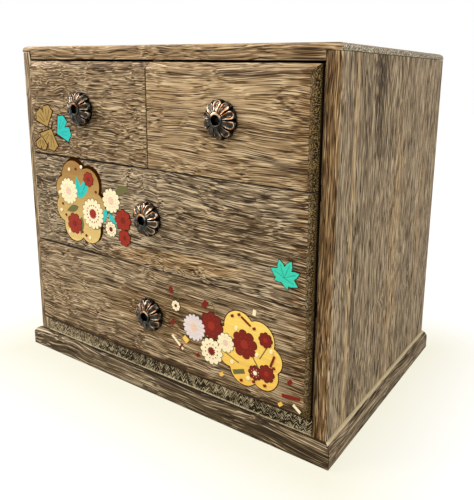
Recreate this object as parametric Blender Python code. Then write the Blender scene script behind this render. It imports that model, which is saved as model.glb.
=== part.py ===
"""Tabletop drawer chest of burnt and brushed paulownia, with four drawers on plain wooden slides.

The case is a box of boards on a moulded plinth. Two half-width drawers sit above two full-width
ones. Their fronts stand proud of the case and hide the shelves, which also stop them. Each front
carries a cast chrysanthemum knob, held by one screw.

Metres, +Z up, the front looks along -Y. The origin is on the floor, under the middle of the
chest's outline, knobs included.
"""

import math
from collections import namedtuple

import bmesh
import bpy
from mathutils import Vector

# Overall case
CHEST_HEIGHT = 0.235
CASE_WIDTH = 0.259
CASE_DEPTH = 0.1715

# Case boards
SIDE_BOARD = 0.009
TOP_BOARD = 0.009
TOP_LIP = 0.004
BOTTOM_BOARD = 0.010
SHELF = 0.006
DIVIDER = 0.006
BACK_PANEL = 0.004
BACK_REBATE = 0.005
SHELF_HOUSING = 0.003
DIVIDER_HOUSING = 0.002
TOP_ROUND = 0.003
TOP_ROUND_STEPS = 4
CASE_ARRIS = 0.0012
CASE_ARRIS_STEPS = 3
EDGE_BREAK = 0.0006

# Plinth
BASE_HEIGHT = 0.0138
BASE_PROJECTION = 0.0045
BASE_STRIP = 0.020
BASE_SHOULDER = 0.0034
BASE_SHOULDER_SWELL = 0.0004
BASE_SHOULDER_STEPS = 4

# Clearances
JOINT_GAP = 0.0003
RUNNING_GAP = 0.0003
STOP_GAP = 0.0004
FRONT_GAP = 0.0005
TOP_GAP = 0.0015
SIDE_GAP = 0.0015
HEADROOM = 0.003
REAR_GAP = 0.003
CUT_OVERSHOOT = 0.002
SLIVER = 0.000001

# Drawers
ROWS = 3
LOWER_ROW_EXTRA = 0.0018
DRAWER_PROUD = 0.0052
FRONT_BOARD = 0.010
FRONT_CHAMFER = 0.004
MIDDLE_END_CHAMFER = 0.003
LOWER_END_CHAMFER = 0.002
FRONT_ARRIS = 0.0004
BOX_SIDE = 0.006
BOX_BACK = 0.006
BOX_BACK_INSET = 0.004
BOX_BACK_HOUSING = 0.002
BOX_BOTTOM = 0.003
BOX_BOTTOM_RISE = 0.003
BOX_GROOVE = 0.003
FRONT_LAP = 0.002
UPPER_KNOB_RISE = 0.0015
MIDDLE_KNOB_RISE = 0.0008
LOWER_KNOB_RISE = 0.0024

# Chrysanthemum knob
PETALS = 10
PETAL_STEPS = 8
DOME_RINGS = 7
DOME_RING_CROWDING = 1.6
KNOB_RADIUS = 0.0115
KNOB_HEIGHT = 0.007
KNOB_RIM_HEIGHT = 0.0026
KNOB_RIM_THICKNESS = 0.0012
KNOB_SHOULDER_HEIGHT = 0.0062
KNOB_RING_RADIUS = 0.0044
KNOB_RECESS_RADIUS = 0.0028
KNOB_RECESS_FLOOR = 0.0034
KNOB_FOOT_RADIUS = 0.0062
KNOB_UNDERCUT = 0.0008
DOME_FULLNESS = 1.8
PETAL_SCALLOP = 0.0009
PETAL_TIP = 0.0022
PETAL_RELIEF = 0.0008
PETAL_FADE = 0.5
PETAL_RIM_PLACE = 0.28
PETAL_RIM_SPREAD = 0.18
PETAL_RIM_SHARE = 0.60
PETAL_SCOOP_SPREAD = 0.45
PETAL_SCOOP_SHARE = 0.45
PETAL_GROOVE_SPREAD = 0.11

# Knob screw
SCREW_SHANK_RADIUS = 0.0014
SCREW_HEAD_RADIUS = 0.0023
SCREW_HEAD_HEIGHT = 0.0014
SCREW_CROWN_RADIUS = 0.0016
SCREW_CROWN_DROP = 0.0002
SCREW_HEAD_EDGE = 0.0007
SCREW_BITE = 0.007
SCREW_POINT = 0.0015
SCREW_STEPS = 20

# Shading and edge shapes
SMOOTH_BELOW = math.radians(38)
ROUND = 0.5

# Places that follow from the sizes above
FRONT_TO_KNOB_TOP = JOINT_GAP + KNOB_HEIGHT
TOTAL_DEPTH = FRONT_TO_KNOB_TOP + DRAWER_PROUD + CASE_DEPTH
CASE_FRONT = FRONT_TO_KNOB_TOP + DRAWER_PROUD - TOTAL_DEPTH / 2
CASE_BACK = CASE_FRONT + CASE_DEPTH
PANEL_FACE = CASE_BACK - BACK_PANEL
INNER_HALF = CASE_WIDTH / 2 - SIDE_BOARD
FRONT_FACE = CASE_FRONT - DRAWER_PROUD
FRONT_REAR = FRONT_FACE + FRONT_BOARD
SHELF_FRONT = FRONT_REAR + STOP_GAP
SHELF_BACK = PANEL_FACE - JOINT_GAP
CASE_FLOOR = BASE_HEIGHT + JOINT_GAP
BOTTOM_TOP = CASE_FLOOR + BOTTOM_BOARD
OPENING_TOP = CHEST_HEIGHT - TOP_BOARD
SIDE_TOP = CHEST_HEIGHT - TOP_LIP - JOINT_GAP
FRONTS_LOW = BOTTOM_TOP + FRONT_GAP
FRONTS_HIGH = OPENING_TOP - TOP_GAP
FRONT_HEIGHT = (FRONTS_HIGH - FRONTS_LOW - LOWER_ROW_EXTRA - (ROWS - 1) * FRONT_GAP) / ROWS
BOX_HALF = INNER_HALF - SIDE_GAP
BOX_REAR = PANEL_FACE - REAR_GAP
BOX_BACK_REAR = BOX_REAR - BOX_BACK_INSET
BOX_BACK_FACE = BOX_BACK_REAR - BOX_BACK
TOP_ROW = ROWS - 1

Drawer = namedtuple("Drawer", "name row front_left front_right box_left box_right "
                              "end_chamfer knob_rise knob_turn")

DRAWERS = (
    Drawer("upper_left_drawer", TOP_ROW, -BOX_HALF, -FRONT_GAP / 2, -BOX_HALF, -DIVIDER / 2 - SIDE_GAP,
           FRONT_CHAMFER, UPPER_KNOB_RISE, math.radians(4)),
    Drawer("upper_right_drawer", TOP_ROW, FRONT_GAP / 2, BOX_HALF, DIVIDER / 2 + SIDE_GAP, BOX_HALF,
           FRONT_CHAMFER, UPPER_KNOB_RISE, math.radians(34)),
    Drawer("middle_drawer", 1, -BOX_HALF, BOX_HALF, -BOX_HALF, BOX_HALF,
           MIDDLE_END_CHAMFER, MIDDLE_KNOB_RISE, math.radians(27)),
    Drawer("lower_drawer", 0, -BOX_HALF, BOX_HALF, -BOX_HALF, BOX_HALF,
           LOWER_END_CHAMFER, LOWER_KNOB_RISE, math.radians(8)),
)

SIDE_NORMALS = {
    "left": Vector((-1, 0, 0)),
    "right": Vector((1, 0, 0)),
    "front": Vector((0, -1, 0)),
    "back": Vector((0, 1, 0)),
    "bottom": Vector((0, 0, -1)),
    "top": Vector((0, 0, 1)),
}


def front_height(row):
    """Height of the drawer fronts in a row, counted from the bottom, whose row is a little taller."""
    return FRONT_HEIGHT + (LOWER_ROW_EXTRA if row == 0 else 0)


def row_low(row):
    """Height of the lower edge of the drawer fronts in a row."""
    return FRONTS_LOW + sum(front_height(below) + FRONT_GAP for below in range(row))


def shelf_heights(row):
    """Underside and top of the shelf that carries a row, centred behind the joint of two fronts."""
    middle = row_low(row) - FRONT_GAP / 2
    return middle - SHELF / 2, middle + SHELF / 2


def box_heights(row):
    """Lower and upper edge of a drawer's sides in a row."""
    seat = shelf_heights(row)[1] if row > 0 else BOTTOM_TOP
    ceiling = OPENING_TOP if row == TOP_ROW else shelf_heights(row + 1)[0]
    return seat + RUNNING_GAP, ceiling - HEADROOM


def clear_scene():
    for obj in list(bpy.data.objects):
        bpy.data.objects.remove(obj, do_unlink=True)


def new_collection(name):
    collection = bpy.data.collections.new(name)
    bpy.context.scene.collection.children.link(collection)
    return collection


def linear(channel):
    return channel / 12.92 if channel <= 0.04045 else ((channel + 0.055) / 1.055) ** 2.4


def finish(name, hex_colour, roughness, metallic=0.0):
    """A Principled material from an sRGB hex colour."""
    channels = [int(hex_colour[i:i + 2], 16) / 255 for i in (1, 3, 5)]
    colour = (*[linear(c) for c in channels], 1.0)
    material = bpy.data.materials.new(name)
    material.use_nodes = True
    shader = material.node_tree.nodes["Principled BSDF"]
    shader.inputs["Base Color"].default_value = colour
    shader.inputs["Roughness"].default_value = roughness
    shader.inputs["Metallic"].default_value = metallic
    material.diffuse_color = colour
    return material


clear_scene()
CHEST = new_collection("drawer_chest")
CUTTERS = new_collection("cutters")
CUTTERS.hide_render = True

BURNT_FRONT = finish("burnt paulownia, drawer fronts", "#8C7050", 0.62)
BURNT_CASE = finish("burnt paulownia, case", "#85714F", 0.64)
BURNT_BASE = finish("burnt paulownia, plinth", "#6E5A42", 0.64)
PLAIN_WOOD = finish("plain paulownia, inner boards", "#C9B08A", 0.70)
OLD_COPPER = finish("antiqued copper", "#5A3B2C", 0.34, 1.0)
BLACK_STEEL = finish("blackened steel", "#15130F", 0.45, 1.0)


def add_object(name, bm, place, material, parent=None, smooth=False):
    """Turn a bmesh into a named object of the chest, placed in the world or under a parent."""
    mesh = bpy.data.meshes.new(name)
    bm.to_mesh(mesh)
    bm.free()
    mesh.materials.append(material)
    if smooth:
        mesh.shade_smooth()
        mesh.set_sharp_from_angle(angle=SMOOTH_BELOW)
    obj = bpy.data.objects.new(name, mesh)
    CHEST.objects.link(obj)
    obj.location = place - parent.location if parent else place
    obj.parent = parent
    return obj


def box_bmesh(size):
    bm = bmesh.new()
    bmesh.ops.create_cube(bm, size=1.0)
    bmesh.ops.scale(bm, vec=size, verts=bm.verts)
    bm.normal_update()
    return bm


def edges_between(bm, pairs):
    """The edges of a box where the named sides meet, such as ("front", "left")."""
    found = []
    for first, second in pairs:
        wanted = (SIDE_NORMALS[first], SIDE_NORMALS[second])
        for edge in bm.edges:
            normals = [face.normal for face in edge.link_faces]
            if all(any(n.dot(w) > 0.99 for n in normals) for w in wanted):
                found.append(edge)
    return found


def round_edges(bm, pairs, width, segments, shape):
    edges = edges_between(bm, pairs)
    bmesh.ops.bevel(bm, geom=edges, offset=width, offset_type="OFFSET", segments=segments,
                    profile=shape, affect="EDGES", clamp_overlap=False, material=-1)
    bm.normal_update()


def board(name, low, high, material, parent=None, rounds=()):
    """A board between two corners. rounds lists (edge pairs, width, segments, shape)."""
    low, high = Vector(low), Vector(high)
    bm = box_bmesh(high - low)
    for pairs, width, segments, shape in rounds:
        round_edges(bm, pairs, width, segments, shape)
    return add_object(name, bm, (low + high) / 2, material, parent)


def cut_with(target, cutter_bm, place):
    """Subtract a shape from a board with a Boolean, keeping the cutter as a hidden helper."""
    mesh = bpy.data.meshes.new(f"{target.name}_cutter")
    cutter_bm.to_mesh(mesh)
    cutter_bm.free()
    cutter = bpy.data.objects.new(mesh.name, mesh)
    CUTTERS.objects.link(cutter)
    cutter.location = place - target.parent.location if target.parent else place
    cutter.parent = target.parent
    cutter.hide_render = True
    cutter.display_type = "WIRE"
    boolean = target.modifiers.new(cutter.name, "BOOLEAN")
    boolean.operation = "DIFFERENCE"
    boolean.solver = "EXACT"
    boolean.object = cutter


def carve(target, low, high):
    """Cut a square groove, housing or rebate out of a board."""
    low, high = Vector(low), Vector(high)
    cut_with(target, box_bmesh(high - low), (low + high) / 2)


def drill_forward(target, x, y_open, y_end, z, radius):
    """Drill a round hole along Y, from an open face to its end."""
    bm = bmesh.new()
    bmesh.ops.create_cone(bm, cap_ends=True, segments=SCREW_STEPS, radius1=radius, radius2=radius,
                          depth=y_end - y_open)
    upright = Vector((0, 0, 1)).rotation_difference(Vector((0, 1, 0))).to_matrix()
    bmesh.ops.rotate(bm, matrix=upright, verts=bm.verts)
    cut_with(target, bm, Vector((x, (y_open + y_end) / 2, z)))


def turned(profile, steps, closed):
    """Spin a profile of (radius, height) points about Z into one closed skin."""
    bm = bmesh.new()
    verts = [bm.verts.new((radius, 0, height)) for radius, height in profile]
    links = list(zip(verts, verts[1:]))
    if closed:
        links.append((verts[-1], verts[0]))
    edges = [bm.edges.new(pair) for pair in links]
    bmesh.ops.spin(bm, geom=verts + edges, cent=(0, 0, 0), axis=(0, 0, 1), angle=math.tau,
                   steps=steps, use_merge=True)
    bmesh.ops.remove_doubles(bm, verts=bm.verts, dist=SLIVER)
    bmesh.ops.recalc_face_normals(bm, faces=bm.faces)
    return bm


# Case


def side_board(name, direction):
    """One side of the case, with housings for the shelves and a rebate for the back panel."""
    outer = direction * CASE_WIDTH / 2
    inner = direction * INNER_HALF
    left, right = sorted((outer, inner))
    outside, inside = ("right", "left") if direction > 0 else ("left", "right")
    rounds = (
        ([("front", outside)], CASE_ARRIS, CASE_ARRIS_STEPS, ROUND),
        ([("front", inside), ("back", outside)], EDGE_BREAK, 1, ROUND),
    )
    side = board(name, (left, CASE_FRONT, CASE_FLOOR),
                 (right, CASE_BACK, SIDE_TOP), BURNT_CASE, rounds=rounds)
    for row in range(1, ROWS):
        under, over = shelf_heights(row)
        x_deep = direction * (INNER_HALF + SHELF_HOUSING)
        x_open = direction * (INNER_HALF - CUT_OVERSHOOT)
        low_x, high_x = sorted((x_deep, x_open))
        carve(side, (low_x, SHELF_FRONT - JOINT_GAP, under - JOINT_GAP),
              (high_x, PANEL_FACE, over + JOINT_GAP))
    x_deep = direction * (INNER_HALF + BACK_REBATE)
    low_x, high_x = sorted((x_deep, direction * (INNER_HALF - CUT_OVERSHOOT)))
    carve(side, (low_x, PANEL_FACE - JOINT_GAP, CASE_FLOOR - CUT_OVERSHOOT),
          (high_x, CASE_BACK + CUT_OVERSHOOT, CHEST_HEIGHT))
    return side


def top_board():
    """The top, rebated at its ends so that a thin lip runs over the sides."""
    half = CASE_WIDTH / 2
    upper_edges = [("top", side) for side in ("front", "back", "left", "right")]
    top = board("top_board", (-half, CASE_FRONT, OPENING_TOP), (half, CASE_BACK, CHEST_HEIGHT),
                BURNT_CASE, rounds=((upper_edges, TOP_ROUND, TOP_ROUND_STEPS, ROUND),))
    for direction in (-1, 1):
        shoulder = direction * (INNER_HALF - JOINT_GAP)
        low_x, high_x = sorted((shoulder, direction * (half + CUT_OVERSHOOT)))
        carve(top, (low_x, CASE_FRONT - CUT_OVERSHOOT, OPENING_TOP - CUT_OVERSHOOT),
              (high_x, CASE_BACK + CUT_OVERSHOOT, CHEST_HEIGHT - TOP_LIP))
    carve(top, (-half - CUT_OVERSHOOT, PANEL_FACE - JOINT_GAP, OPENING_TOP - CUT_OVERSHOOT),
          (half + CUT_OVERSHOOT, CASE_BACK + CUT_OVERSHOOT, CHEST_HEIGHT - TOP_LIP))
    carve(top, (-DIVIDER / 2 - JOINT_GAP, SHELF_FRONT - JOINT_GAP, OPENING_TOP - CUT_OVERSHOOT),
          (DIVIDER / 2 + JOINT_GAP, CASE_BACK + CUT_OVERSHOOT, OPENING_TOP + DIVIDER_HOUSING))
    return top


def case_boards():
    side_board("left_side", -1)
    side_board("right_side", 1)
    top_board()
    fitted_half = INNER_HALF - JOINT_GAP
    board("bottom_board", (-fitted_half, CASE_FRONT, CASE_FLOOR),
          (fitted_half, SHELF_BACK, BOTTOM_TOP), BURNT_CASE,
          rounds=(([("front", "top")], EDGE_BREAK, 1, ROUND),))
    housed_half = INNER_HALF + SHELF_HOUSING - JOINT_GAP
    for row, name in ((1, "lower_shelf"), (TOP_ROW, "upper_shelf")):
        under, over = shelf_heights(row)
        shelf = board(name, (-housed_half, SHELF_FRONT, under), (housed_half, SHELF_BACK, over),
                      PLAIN_WOOD)
        if row == TOP_ROW:
            groove_half = DIVIDER / 2 + JOINT_GAP
            carve(shelf, (-groove_half, SHELF_FRONT - CUT_OVERSHOOT, over - DIVIDER_HOUSING),
                  (groove_half, SHELF_BACK + CUT_OVERSHOOT, over + CUT_OVERSHOOT))
    divider_foot = shelf_heights(TOP_ROW)[1] - DIVIDER_HOUSING + JOINT_GAP
    board("drawer_divider", (-DIVIDER / 2, SHELF_FRONT, divider_foot),
          (DIVIDER / 2, SHELF_BACK, OPENING_TOP + DIVIDER_HOUSING - JOINT_GAP), PLAIN_WOOD)
    panel_half = INNER_HALF + BACK_REBATE - JOINT_GAP
    board("back_panel", (-panel_half, PANEL_FACE, CASE_FLOOR),
          (panel_half, CASE_BACK, SIDE_TOP), BURNT_CASE)


# Plinth


def plinth_profile():
    """Section of the plinth as (distance in from the outer face, height), with a swelling shoulder."""
    points = [(BASE_STRIP, 0.0), (EDGE_BREAK, 0.0), (0.0, EDGE_BREAK)]
    for step in range(BASE_SHOULDER_STEPS + 1):
        share = step / BASE_SHOULDER_STEPS
        swell = BASE_SHOULDER_SWELL * math.sin(math.pi * share)
        points.append((BASE_SHOULDER * share - swell, BASE_HEIGHT - BASE_SHOULDER * (1 - share) + swell))
    points.append((BASE_STRIP, BASE_HEIGHT))
    return points


def mitre(bm, corner, keep):
    """Cut a strip on the vertical plane through a corner, and keep the side that keep points to."""
    cut = bmesh.ops.bisect_plane(bm, geom=bm.verts[:] + bm.edges[:] + bm.faces[:], dist=SLIVER,
                                 plane_co=corner, plane_no=keep, clear_inner=True)
    edges = [item for item in cut["geom_cut"] if isinstance(item, bmesh.types.BMEdge)]
    bmesh.ops.contextual_create(bm, geom=edges)


def moulded_strip(name, start, along, inward, length, mitres):
    """Extrude the plinth's section from a corner, then mitre its ends."""
    bm = bmesh.new()
    section = [bm.verts.new(start + inward * inset + Vector((0, 0, height)))
               for inset, height in plinth_profile()]
    face = bm.faces.new(section)
    grown = bmesh.ops.extrude_face_region(bm, geom=[face])
    moved = [item for item in grown["geom"] if isinstance(item, bmesh.types.BMVert)]
    bmesh.ops.translate(bm, vec=along * length, verts=moved)
    bmesh.ops.recalc_face_normals(bm, faces=bm.faces)
    for corner, keep in mitres:
        mitre(bm, corner + keep * JOINT_GAP / 2, keep)
    bmesh.ops.recalc_face_normals(bm, faces=bm.faces)
    middle = start + along * length / 2
    bmesh.ops.translate(bm, vec=-middle, verts=bm.verts)
    return add_object(name, bm, middle, BURNT_BASE, smooth=True)


def plinth():
    half = CASE_WIDTH / 2 + BASE_PROJECTION
    front = CASE_FRONT - BASE_PROJECTION
    corners = {-1: Vector((-half, front, 0)), 1: Vector((half, front, 0))}
    slope = math.sqrt(0.5)
    across, backward = Vector((1, 0, 0)), Vector((0, 1, 0))
    front_mitres = [(corners[d], Vector((-d * slope, -slope, 0))) for d in (-1, 1)]
    moulded_strip("base_front", corners[-1], across, backward, 2 * half, front_mitres)
    for name, direction in (("base_left", -1), ("base_right", 1)):
        keep = Vector((direction * slope, slope, 0))
        moulded_strip(name, corners[direction], backward, across * -direction,
                      CASE_BACK - front, [(corners[direction], keep)])
    back_half = half - BASE_STRIP - JOINT_GAP
    board("base_back", (-back_half, CASE_BACK - BASE_STRIP, 0), (back_half, CASE_BACK, BASE_HEIGHT),
          BURNT_BASE)


# Knobs


def petal_reach(across):
    """How far a petal's rounded tip falls back from the knob's radius, away from its middle line."""
    return PETAL_SCALLOP * (1 - math.sqrt(max(0.0, 1 - across ** 2)))


def petal_lift(across, to_tip):
    """Relief of a petal, as a share: a scoop inside a raised rim, with a groove round it.

    across goes from 0 on the petal's middle line to 1 in the groove beside it, and to_tip is the
    distance out to the knob's radius.
    """
    tip = max(0.0, 1 - to_tip / PETAL_TIP)
    inward = 1 - min(1.0, math.hypot(across, tip))
    rim = math.exp(-((inward - PETAL_RIM_PLACE) / PETAL_RIM_SPREAD) ** 2)
    groove = math.exp(-(inward / PETAL_GROOVE_SPREAD) ** 2)
    scoop = math.exp(-((1 - inward) / PETAL_SCOOP_SPREAD) ** 2)
    return PETAL_RIM_SHARE * rim - groove - PETAL_SCOOP_SHARE * scoop


def knob_profile():
    """Half section of the knob as (radius, height), from its recess out to the rim and back below."""
    ring_middle = (KNOB_RING_RADIUS + KNOB_RECESS_RADIUS) / 2
    ring_edge = (KNOB_HEIGHT + KNOB_SHOULDER_HEIGHT) / 2
    points = [
        (KNOB_RECESS_RADIUS, KNOB_RECESS_FLOOR),
        (KNOB_RECESS_RADIUS, ring_edge),
        (ring_middle, KNOB_HEIGHT),
        (KNOB_RING_RADIUS, ring_edge),
    ]
    skirt = KNOB_RADIUS - KNOB_RING_RADIUS
    fall = KNOB_SHOULDER_HEIGHT - KNOB_RIM_HEIGHT
    for ring in range(DOME_RINGS + 1):
        share = 1 - (1 - ring / DOME_RINGS) ** DOME_RING_CROWDING
        height = KNOB_SHOULDER_HEIGHT - fall * share ** DOME_FULLNESS
        points.append((KNOB_RING_RADIUS + skirt * share, height))
    hole = SCREW_SHANK_RADIUS + JOINT_GAP
    points += [
        (KNOB_RADIUS - KNOB_RIM_THICKNESS / 2, KNOB_RIM_HEIGHT - KNOB_RIM_THICKNESS),
        (KNOB_FOOT_RADIUS, KNOB_RIM_HEIGHT - KNOB_RIM_THICKNESS + KNOB_UNDERCUT),
        (KNOB_FOOT_RADIUS, 0.0),
        (hole, 0.0),
        (hole, KNOB_RECESS_FLOOR),
    ]
    return points


def chrysanthemum_knob(name, place, turn, parent):
    """A turned dome whose skirt is drawn out into scooped petals with rounded tips."""
    bm = turned(knob_profile(), PETALS * PETAL_STEPS, closed=True)
    skirt = KNOB_RADIUS - KNOB_RING_RADIUS
    for vert in bm.verts:
        radius = math.hypot(vert.co.x, vert.co.y)
        upper = vert.co.z > KNOB_RIM_HEIGHT - SLIVER and radius > KNOB_RING_RADIUS + SLIVER
        if not upper and radius < KNOB_FOOT_RADIUS + SLIVER:
            continue
        share = (radius - KNOB_RING_RADIUS) / skirt
        petal = (math.atan2(vert.co.y, vert.co.x) * PETALS / math.tau) % 1.0
        across = abs(2 * petal - 1)
        drawn_in = radius - petal_reach(across) * share
        vert.co.x *= drawn_in / radius
        vert.co.y *= drawn_in / radius
        if upper:
            relief = PETAL_RELIEF * min(1.0, share / PETAL_FADE)
            vert.co.z += relief * petal_lift(across, KNOB_RADIUS - drawn_in)
    bmesh.ops.recalc_face_normals(bm, faces=bm.faces)
    knob = add_object(name, bm, place, OLD_COPPER, parent, smooth=True)
    knob.rotation_euler = (math.pi / 2, turn, 0)
    return knob


def knob_screw(name, place, parent):
    """A round-headed screw, sunk in the knob and driven into the drawer front."""
    seat = KNOB_RECESS_FLOOR + JOINT_GAP
    crown = seat + SCREW_HEAD_HEIGHT
    profile = [
        (0.0, crown),
        (SCREW_CROWN_RADIUS, crown - SCREW_CROWN_DROP),
        (SCREW_HEAD_RADIUS, seat + SCREW_HEAD_EDGE),
        (SCREW_HEAD_RADIUS, seat),
        (SCREW_SHANK_RADIUS, seat),
        (SCREW_SHANK_RADIUS, SCREW_POINT - SCREW_BITE),
        (0.0, -SCREW_BITE),
    ]
    bm = turned(profile, SCREW_STEPS, closed=False)
    screw = add_object(name, bm, place, BLACK_STEEL, parent, smooth=True)
    screw.rotation_euler = (math.pi / 2, 0, 0)
    return screw


# Drawers


def drawer_front(drawer, parent, bottom_low):
    """The front: chamfered where it meets the case, lapped for the sides, grooved for the bottom."""
    low = row_low(drawer.row)
    edges = {
        "bottom": FRONT_CHAMFER if drawer.row == 0 else FRONT_ARRIS,
        "left": drawer.end_chamfer if drawer.front_left <= -BOX_HALF else FRONT_ARRIS,
        "right": drawer.end_chamfer if drawer.front_right >= BOX_HALF else FRONT_ARRIS,
        "top": FRONT_CHAMFER if drawer.row == TOP_ROW else FRONT_ARRIS,
    }
    rounds = [([("front", side) for side in edges if edges[side] == width], width, 1, ROUND)
              for width in sorted(set(edges.values()), reverse=True)]
    front = board(f"{drawer.name}_front", (drawer.front_left, FRONT_FACE, low),
                  (drawer.front_right, FRONT_REAR, low + front_height(drawer.row)), BURNT_FRONT,
                  parent, rounds)
    box_low, box_high = box_heights(drawer.row)
    lap = FRONT_REAR - FRONT_LAP
    beyond = FRONT_REAR + CUT_OVERSHOOT
    housings = (
        (drawer.box_left, drawer.box_left + BOX_SIDE, drawer.front_left >= drawer.box_left, False),
        (drawer.box_right - BOX_SIDE, drawer.box_right, False, drawer.front_right <= drawer.box_right),
    )
    for left, right, open_left, open_right in housings:
        low_x = left - (CUT_OVERSHOOT if open_left else JOINT_GAP)
        high_x = right + (CUT_OVERSHOOT if open_right else JOINT_GAP)
        carve(front, (low_x, lap, box_low - JOINT_GAP), (high_x, beyond, box_high + JOINT_GAP))
    groove_left = drawer.box_left + BOX_SIDE - BOX_GROOVE
    groove_right = drawer.box_right - BOX_SIDE + BOX_GROOVE
    carve(front, (groove_left, FRONT_REAR - BOX_GROOVE, bottom_low - JOINT_GAP),
          (groove_right, beyond, bottom_low + BOX_BOTTOM + JOINT_GAP))
    return front


def drawer_side(name, drawer, direction, parent, bottom_low):
    """One side of a drawer, lapped into the front, grooved for the bottom and housed for the back."""
    outer = drawer.box_right if direction > 0 else drawer.box_left
    inner = outer - direction * BOX_SIDE
    left, right = sorted((outer, inner))
    box_low, box_high = box_heights(drawer.row)
    side = board(name, (left, FRONT_REAR - FRONT_LAP + JOINT_GAP, box_low),
                 (right, BOX_REAR, box_high), PLAIN_WOOD, parent)
    open_x = inner - direction * CUT_OVERSHOOT
    low_x, high_x = sorted((open_x, inner + direction * BOX_GROOVE))
    carve(side, (low_x, CASE_FRONT - CUT_OVERSHOOT, bottom_low - JOINT_GAP),
          (high_x, BOX_REAR + CUT_OVERSHOOT, bottom_low + BOX_BOTTOM + JOINT_GAP))
    low_x, high_x = sorted((open_x, inner + direction * BOX_BACK_HOUSING))
    carve(side, (low_x, BOX_BACK_FACE - JOINT_GAP, bottom_low + BOX_BOTTOM),
          (high_x, BOX_BACK_REAR + JOINT_GAP, box_high + CUT_OVERSHOOT))
    return side


def build_drawer(drawer):
    """Front, two sides, back, bottom, knob and screw, all carried by one empty on the slide's axis."""
    box_low, box_high = box_heights(drawer.row)
    middle_x = (drawer.front_left + drawer.front_right) / 2
    middle_z = row_low(drawer.row) + front_height(drawer.row) / 2
    slide = bpy.data.objects.new(drawer.name, None)
    slide.empty_display_size = FRONT_HEIGHT / 2
    slide.location = (middle_x, FRONT_FACE, middle_z)
    CHEST.objects.link(slide)

    bottom_low = box_low + BOX_BOTTOM_RISE
    front = drawer_front(drawer, slide, bottom_low)
    knob_place = Vector((middle_x, FRONT_FACE - JOINT_GAP, middle_z + drawer.knob_rise))
    drill_forward(front, middle_x, FRONT_FACE - CUT_OVERSHOOT, FRONT_FACE + SCREW_BITE, knob_place.z,
                  SCREW_SHANK_RADIUS + JOINT_GAP)
    drawer_side(f"{drawer.name}_left_side", drawer, -1, slide, bottom_low)
    drawer_side(f"{drawer.name}_right_side", drawer, 1, slide, bottom_low)

    inner_left = drawer.box_left + BOX_SIDE
    inner_right = drawer.box_right - BOX_SIDE
    housed = BOX_BACK_HOUSING - JOINT_GAP
    back_low = bottom_low + BOX_BOTTOM + JOINT_GAP
    board(f"{drawer.name}_back", (inner_left - housed, BOX_BACK_FACE, back_low),
          (inner_right + housed, BOX_BACK_REAR, box_high), PLAIN_WOOD, slide)
    grooved = BOX_GROOVE - JOINT_GAP
    board(f"{drawer.name}_bottom", (inner_left - grooved, FRONT_REAR - grooved, bottom_low),
          (inner_right + grooved, BOX_REAR, bottom_low + BOX_BOTTOM), PLAIN_WOOD, slide)

    chrysanthemum_knob(f"{drawer.name}_knob", knob_place, drawer.knob_turn, slide)
    knob_screw(f"{drawer.name}_knob_screw", knob_place, slide)


case_boards()
plinth()
for each in DRAWERS:
    build_drawer(each)
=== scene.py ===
"""Looks of the tabletop drawer chest: burnt and brushed paulownia, antiqued copper knobs, printed fronts."""

import math
from collections import namedtuple

import bmesh
import bpy
from mathutils import Euler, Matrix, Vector


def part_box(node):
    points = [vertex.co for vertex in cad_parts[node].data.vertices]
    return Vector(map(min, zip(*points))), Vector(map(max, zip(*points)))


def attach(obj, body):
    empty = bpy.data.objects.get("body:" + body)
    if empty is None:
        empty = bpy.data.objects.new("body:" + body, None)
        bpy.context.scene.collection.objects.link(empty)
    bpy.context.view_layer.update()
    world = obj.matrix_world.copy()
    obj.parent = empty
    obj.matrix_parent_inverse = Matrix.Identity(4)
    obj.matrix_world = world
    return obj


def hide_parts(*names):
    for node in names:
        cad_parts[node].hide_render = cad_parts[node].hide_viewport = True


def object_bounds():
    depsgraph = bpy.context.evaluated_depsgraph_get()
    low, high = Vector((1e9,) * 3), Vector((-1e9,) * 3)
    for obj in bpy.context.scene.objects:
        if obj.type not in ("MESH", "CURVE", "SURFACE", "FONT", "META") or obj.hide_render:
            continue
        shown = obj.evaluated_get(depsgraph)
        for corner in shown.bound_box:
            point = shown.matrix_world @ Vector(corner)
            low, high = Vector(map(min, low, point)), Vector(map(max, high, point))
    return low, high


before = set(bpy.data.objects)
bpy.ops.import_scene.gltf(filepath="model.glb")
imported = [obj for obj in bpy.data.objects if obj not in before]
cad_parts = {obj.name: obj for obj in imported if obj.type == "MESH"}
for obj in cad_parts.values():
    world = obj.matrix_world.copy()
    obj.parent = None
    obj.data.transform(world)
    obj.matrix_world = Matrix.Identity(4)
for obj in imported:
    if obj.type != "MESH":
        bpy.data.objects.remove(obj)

CAD_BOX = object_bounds()

# The photograph's height in pixels, and the camera that took it: place in metres, turn in degrees, focal
# length in pixels, shift in shares of the frame, sensor in millimetres, and how near it sees in metres
FRAME_HIGH = 500
CAMERA_PLACE = (0.25179, -0.33250, 0.21943)
CAMERA_TURN = (78.10, -1.05, 32.79)
FOCAL_PIXELS = 554.03
CAMERA_SHIFT = (-0.07035, -0.12115)
SENSOR = 36.0
NEAREST_SEEN = 0.01

# Millimetres in a metre, and metres in a millimetre
TO_MM = 1000.0
MM = 0.001

# What makes a Mix node take colours and give their mixture, and its sockets for the two
MIX_COLOURS = {"data_type": "RGBA", "output": 2}
FIRST, SECOND = 6, 7

# How far apart the patterns of two neighbouring seeds lie
SEED_STEP = (3.7, 9.1, 5.3)


def linear(hex_colour):
    """An sRGB hex colour as the linear colour that shaders use."""
    channels = [int(hex_colour[i:i + 2], 16) / 255 for i in (1, 3, 5)]
    return (*[c / 12.92 if c <= 0.04045 else ((c + 0.055) / 1.055) ** 2.4 for c in channels], 1.0)


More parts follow.
